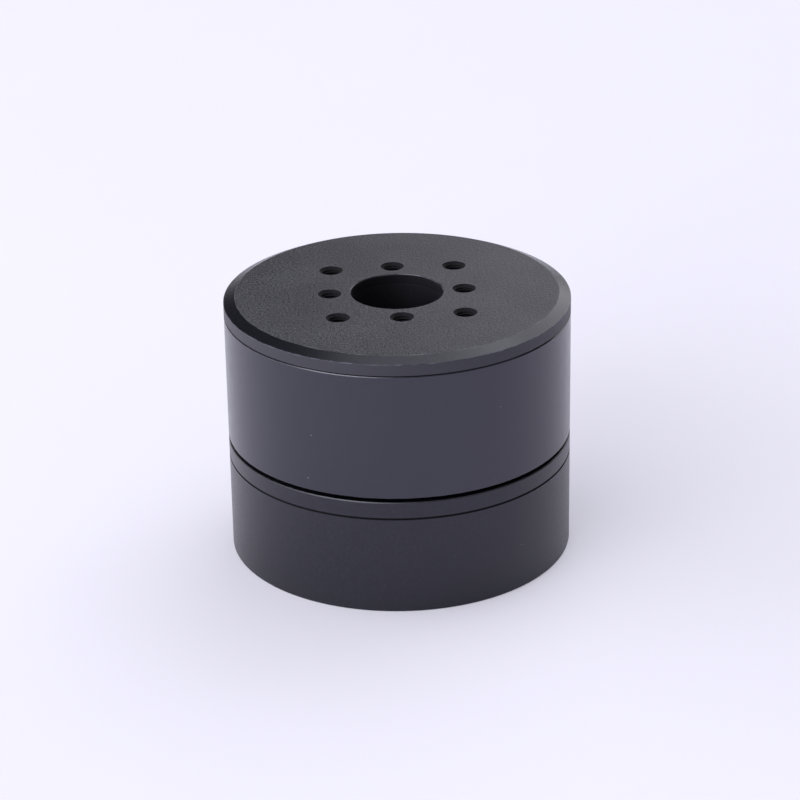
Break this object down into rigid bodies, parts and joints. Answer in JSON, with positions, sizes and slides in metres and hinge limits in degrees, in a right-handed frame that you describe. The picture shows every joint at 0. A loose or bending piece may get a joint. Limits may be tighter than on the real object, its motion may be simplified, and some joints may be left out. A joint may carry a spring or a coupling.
{
  "type": "robot joint actuator",
  "caption": "Compact hollow-shaft joint actuator: an outer-rotor motor whose bevelled output cap turns on a stationary driver can, with tapped faces and a cable bore.",
  "frame": {"origin": "on the turning axis, at the mounting face that it stands on", "axes": "+Z along the turning axis to the output face, +Y to the cable sockets in the driver can"},
  "size_m": [0.049, 0.049, 0.038],
  "materials": {
    "anodised_cap": "bead-blasted black anodised aluminium",
    "blackened_sleeve": "smooth satin black electrocoated steel",
    "anodised_case": "satin black anodised aluminium",
    "sensor_holder": "bare turned aluminium",
    "nickel_magnet": "nickel-plated sintered magnet",
    "ferrite_magnet": "dark bonded magnet",
    "electrical_steel": "stacked blued laminations",
    "green_nylon": "moulded nylon",
    "enamelled_copper": "enamelled copper winding",
    "bearing_steel": "ground bearing steel",
    "bearing_shield": "pressed steel shield",
    "cage_nylon": "natural nylon",
    "spring_steel": "phosphated spring steel",
    "screw_steel": "black oxide alloy steel",
    "board_laminate": "solder-masked glass laminate",
    "chip_resin": "black moulding resin",
    "ceramic_capacitor": "ceramic chip",
    "inductor_ferrite": "moulded ferrite",
    "power_socket_nylon": "yellow nylon",
    "signal_socket_nylon": "natural nylon",
    "gold_pin": "gold-flashed brass"
  },
  "bodies": {
    "stator": {"stator_flange": "anodised_case", "driver_can": "anodised_case", "stator_core": "electrical_steel", "stator_insulator_upper": "green_nylon", "stator_insulator_lower": "green_nylon", "phase_u_coils": "enamelled_copper", "phase_v_coils": "enamelled_copper", "phase_w_coils": "enamelled_copper", "phase_leads": "enamelled_copper", "upper_bearing_outer_ring": "bearing_steel", "lower_bearing_outer_ring": "bearing_steel", "upper_bearing_shields": "bearing_shield", "lower_bearing_shields": "bearing_shield", "case_screws": "screw_steel", "board_screws": "screw_steel", "driver_board": "board_laminate", "angle_sensor_chip": "chip_resin", "controller_chip": "chip_resin", "gate_driver_chip": "chip_resin", "power_transistors": "chip_resin", "board_capacitors": "ceramic_capacitor", "supply_inductor": "inductor_ferrite", "power_socket": "power_socket_nylon", "signal_socket": "signal_socket_nylon", "power_socket_pins": "gold_pin", "signal_socket_pins": "gold_pin"},
    "rotor": {"rotor_cap": "anodised_cap", "rotor_yoke_ring": "blackened_sleeve", "rotor_magnets_north": "nickel_magnet", "rotor_magnets_south": "nickel_magnet", "hollow_shaft": "anodised_case", "upper_bearing_inner_ring": "bearing_steel", "lower_bearing_inner_ring": "bearing_steel", "preload_washer": "spring_steel", "shaft_retaining_ring": "spring_steel", "sensor_magnet_holder": "sensor_holder", "sensor_ring_magnet": "ferrite_magnet"},
    "upper_cage": {"upper_bearing_cage": "cage_nylon", "upper_bearing_balls": "bearing_steel"},
    "lower_cage": {"lower_bearing_cage": "cage_nylon", "lower_bearing_balls": "bearing_steel"}
  },
  "joints": [
    {"name": "rotor_turn", "type": "hinge", "parent": "stator", "child": "rotor", "pos_m": [0, 0, 0.02], "axis": [0, 0, 1], "continuous": true},
    {"name": "upper_cage_turn", "type": "hinge", "parent": "stator", "child": "upper_cage", "pos_m": [0, 0, 0.0316], "axis": [0, 0, 1], "continuous": true},
    {"name": "lower_cage_turn", "type": "hinge", "parent": "stator", "child": "lower_cage", "pos_m": [0, 0, 0.017], "axis": [0, 0, 1], "continuous": true}
  ],
  "couplings": [
    {"joint": "upper_cage_turn", "follows": "rotor_turn", "ratio": 0.4472},
    {"joint": "lower_cage_turn", "follows": "rotor_turn", "ratio": 0.4472}
  ]
}
